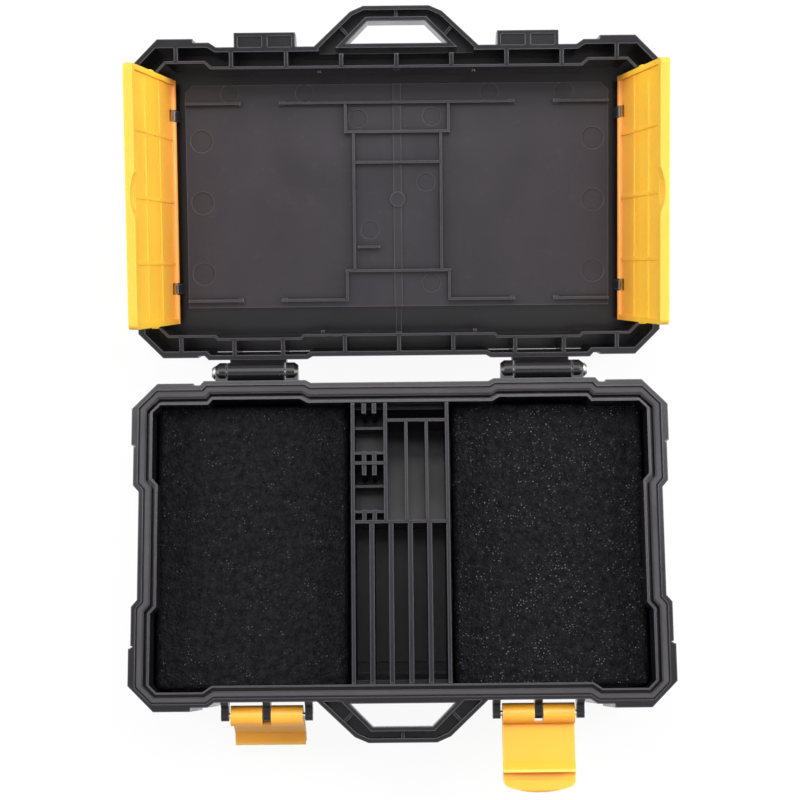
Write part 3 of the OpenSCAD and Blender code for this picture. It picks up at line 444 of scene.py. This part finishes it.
finishes = {
    "base_shell": shell_finish,
    "lid_shell": shell_finish,
    "lid_tray": tray_finish,
    "card_rack": rack_finish,
    "rim_seal": seal_finish,
    "latch_left": latch_finish,
    "latch_right": latch_finish,
    "door_left": door_finish,
    "door_right": door_finish,
    "hinge_pin_left": steel_finish,
    "hinge_pin_right": steel_finish,
    "latch_pin_left": steel_finish,
    "latch_pin_right": steel_finish,
}
for node, finish in finishes.items():
    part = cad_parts[node]
    for index in range(max(1, len(part.data.materials))):
        if part.data.materials:
            part.material_slots[index].material = finish
        else:
            part.data.materials.append(finish)


# Foam pads

FOAM_STEP = 0.7 * MM
FOAM_ROUGHNESS = 0.16 * MM
FOAM_CROWN = 0.25 * MM
FOAM_EDGE = 0.9 * MM
FOAM_SEED = 37.0
FOAM_PLAY = 0.05 * MM
FOAM_CORNER = 1.6 * MM
FOAM_SUNK = 0.2 * MM
FOAM_LEVELS = 10
# Waves per metre of the cells, the broad dents and the ripple of the sides
CELL_WAVES, DENT_WAVES, SIDE_WAVES = 900, 160, 500
CROWN_SHARE = 0.5
CELL_SHARE = 0.8
TINY = 1e-9


def foam_pad(side):
    """Cut foam block with rounded edges and an uneven, slightly crowned top."""
    low, high = (Vector(v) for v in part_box(f"foam_{side}"))
    shrink = FOAM_ROUGHNESS + FOAM_PLAY
    low.x, low.y = low.x + shrink, low.y + shrink
    high.x, high.y = high.x - shrink, high.y - shrink
    columns = round((high.x - low.x) / FOAM_STEP)
    rows = round((high.y - low.y) / FOAM_STEP)
    middle = (low + high) / 2
    half = (high - low) / 2

    def top_point(i, j):
        x = low.x + (high.x - low.x) * i / columns
        y = low.y + (high.y - low.y) * j / rows
        edge = min(x - low.x, high.x - x, y - low.y, high.y - y)
        droop = FOAM_EDGE * max(0.0, 1 - edge / FOAM_EDGE) ** 2
        u, v = (x - middle.x) / half.x, (y - middle.y) / half.y
        crown = FOAM_CROWN * (1 - u * u) * (1 - v * v)
        cells = noise.noise(Vector((x, y, FOAM_SEED * MM)) * CELL_WAVES) * FOAM_ROUGHNESS
        dents = noise.noise(Vector((x, y, 0)) * DENT_WAVES) * FOAM_ROUGHNESS
        dx = abs(x - middle.x) - (half.x - FOAM_CORNER)
        dy = abs(y - middle.y) - (half.y - FOAM_CORNER)
        if dx > 0 and dy > 0:
            reach = max(math.hypot(dx, dy), TINY)
            pull = max(0.0, max(dx, dy) - FOAM_CORNER * max(dx, dy) / reach)
            x -= math.copysign(pull, x - middle.x)
            y -= math.copysign(pull, y - middle.y)
        return x, y, high.z - droop + crown * CROWN_SHARE + cells * CELL_SHARE + dents - FOAM_SUNK

    verts = [top_point(i, j) for j in range(rows + 1) for i in range(columns + 1)]
    faces = []
    width = columns + 1
    for j in range(rows):
        for i in range(columns):
            k = j * width + i
            faces.append((k, k + 1, k + 1 + width, k + width))
    ring = list(range(columns))
    ring += [j * width + columns for j in range(rows)]
    ring += [rows * width + i for i in range(columns, 0, -1)]
    ring += [j * width for j in range(rows, 0, -1)]
    depth = high.z - low.z
    previous = ring
    for level in range(1, FOAM_LEVELS + 1):
        current = []
        for k in ring:
            x, y, z = verts[k]
            drop = (depth - (high.z - z)) * level / FOAM_LEVELS
            wave = noise.noise(Vector((x, y, z - drop)) * SIDE_WAVES) * FOAM_ROUGHNESS
            outward = (Vector((x, y, 0)) - Vector((middle.x, middle.y, 0))).normalized()
            tuck = FOAM_ROUGHNESS + wave
            current.append(len(verts))
            verts.append((x - outward.x * tuck, y - outward.y * tuck, z - drop))
        count = len(ring)
        for a in range(count):
            b = (a + 1) % count
            faces.append((previous[a], current[a], current[b], previous[b]))
        previous = current
    faces.append(tuple(reversed(previous)))
    pad = mesh_object(f"foam_pad_{side}", verts, faces)
    pad.data.materials.append(foam_finishes[side])
    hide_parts(f"foam_{side}")
    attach(pad, "base")


for side in ("left", "right"):
    foam_pad(side)


# Studio

WORLD_LIGHT = 0.08
FLOOR_REACH = 1.6
FLOOR_COLOUR = (0.82, 0.82, 0.83, 1)
FLOOR_PREVIEW = (0.9, 0.9, 0.9, 1)
FLOOR_ROUGHNESS = 0.7
# The rest of the floor's look is its own shading, which keeps the shadow
FLOOR_GLOW_SHARE = 0.93
WHITE = (1, 1, 1, 1)


def seen_rays(tree):
    """One for the rays that show the backdrop itself, zero for those that carry its light."""
    path = tree.nodes.new("ShaderNodeLightPath")
    total = path.outputs["Is Camera Ray"]
    for label in ("Is Glossy Ray", "Is Transmission Ray"):
        either = tree.nodes.new("ShaderNodeMath")
        either.operation = "MAXIMUM"
        tree.links.new(total, either.inputs[0])
        tree.links.new(path.outputs[label], either.inputs[1])
        total = either.outputs[0]
    return total


def pale_floor():
    corners = [(x * FLOOR_REACH, y * FLOOR_REACH, 0)
               for x, y in ((-1, -1), (1, -1), (1, 1), (-1, 1))]
    floor = mesh_object("studio_floor", corners, [(0, 1, 2, 3)], False)
    material, tree, shader = new_material("pale_floor", FLOOR_PREVIEW)
    shader.inputs["Base Color"].default_value = FLOOR_COLOUR
    shader.inputs["Roughness"].default_value = FLOOR_ROUGHNESS
    glow = tree.nodes.new("ShaderNodeEmission")
    glow.inputs["Color"].default_value = WHITE
    glow.inputs["Strength"].default_value = 1.0
    share = tree.nodes.new("ShaderNodeMath")
    share.operation = "MULTIPLY"
    share.inputs[1].default_value = FLOOR_GLOW_SHARE
    tree.links.new(seen_rays(tree), share.inputs[0])
    blend = tree.nodes.new("ShaderNodeMixShader")
    tree.links.new(share.outputs[0], blend.inputs["Fac"])
    tree.links.new(shader.outputs[0], blend.inputs[1])
    tree.links.new(glow.outputs[0], blend.inputs[2])
    tree.links.new(blend.outputs[0], tree.nodes["Material Output"].inputs["Surface"])
    floor.data.materials.append(material)


def soft_lamp(name, place_at, aim, size, power):
    lamp = bpy.data.lights.new(name, "AREA")
    lamp.shape = "RECTANGLE"
    lamp.size, lamp.size_y = size
    lamp.energy = power
    thing = bpy.data.objects.new(name, lamp)
    bpy.context.scene.collection.objects.link(thing)
    thing.location = place_at
    thing.rotation_euler = (Vector(aim) - Vector(place_at)).to_track_quat("-Z", "Y").to_euler()


def white_world():
    world = bpy.data.worlds.new("studio")
    bpy.context.scene.world = world
    world.use_nodes = True
    tree = world.node_tree
    tree.nodes["Background"].inputs["Color"].default_value = WHITE
    strength = ranged(tree, seen_rays(tree), 0.0, 1.0, WORLD_LIGHT, 1.0)
    tree.links.new(strength, tree.nodes["Background"].inputs["Strength"])


pale_floor()
white_world()
CASE_MIDDLE = (0, 0.03, RIM_Z)
DOOR_MIDDLE = (0, (DOOR_LOW.y + DOOR_HIGH.y) / 2, (DOOR_LOW.z + DOOR_HIGH.z) / 2)
soft_lamp("front_box", (0.05, -0.36, 0.8), CASE_MIDDLE, size=(0.8, 0.3), power=1.0)
soft_lamp("top_box", (0.02, 0.35, 0.8), CASE_MIDDLE, size=(0.6, 0.5), power=4.6)
soft_lamp("left_box", (-0.55, 0.12, 0.3), DOOR_MIDDLE, size=(0.3, 0.4), power=4.2)
soft_lamp("right_box", (0.55, 0.12, 0.3), DOOR_MIDDLE, size=(0.3, 0.4), power=5.0)


# Camera, fitted to the photograph

CAMERA_PITCH = 0.164
CAMERA_ROLL = 0.010
CAMERA_AT = Vector((0.07, -27.6, 348.3)) * MM + Vector((0, 0, RIM_Z))
FOCAL_PIXELS = 1680
FRAME_PIXELS = 800
SENSOR = 36

right = Vector((1, 0, 0))
up = Vector((0, math.cos(CAMERA_PITCH), math.sin(CAMERA_PITCH)))
forward = Vector((0, math.sin(CAMERA_PITCH), -math.cos(CAMERA_PITCH)))
rolled_right = right * math.cos(CAMERA_ROLL) - up * math.sin(CAMERA_ROLL)
rolled_up = right * math.sin(CAMERA_ROLL) + up * math.cos(CAMERA_ROLL)
lens = bpy.data.cameras.new("photo_camera")
lens.sensor_width = SENSOR
lens.sensor_fit = "HORIZONTAL"
lens.lens = FOCAL_PIXELS / FRAME_PIXELS * SENSOR
camera = bpy.data.objects.new("photo_camera", lens)
bpy.context.scene.collection.objects.link(camera)
turn = Matrix((rolled_right, rolled_up, -forward)).transposed()
camera.matrix_world = Matrix.Translation(CAMERA_AT) @ turn.to_4x4()
bpy.context.scene.camera = camera
bpy.context.scene.view_settings.view_transform = "Standard"
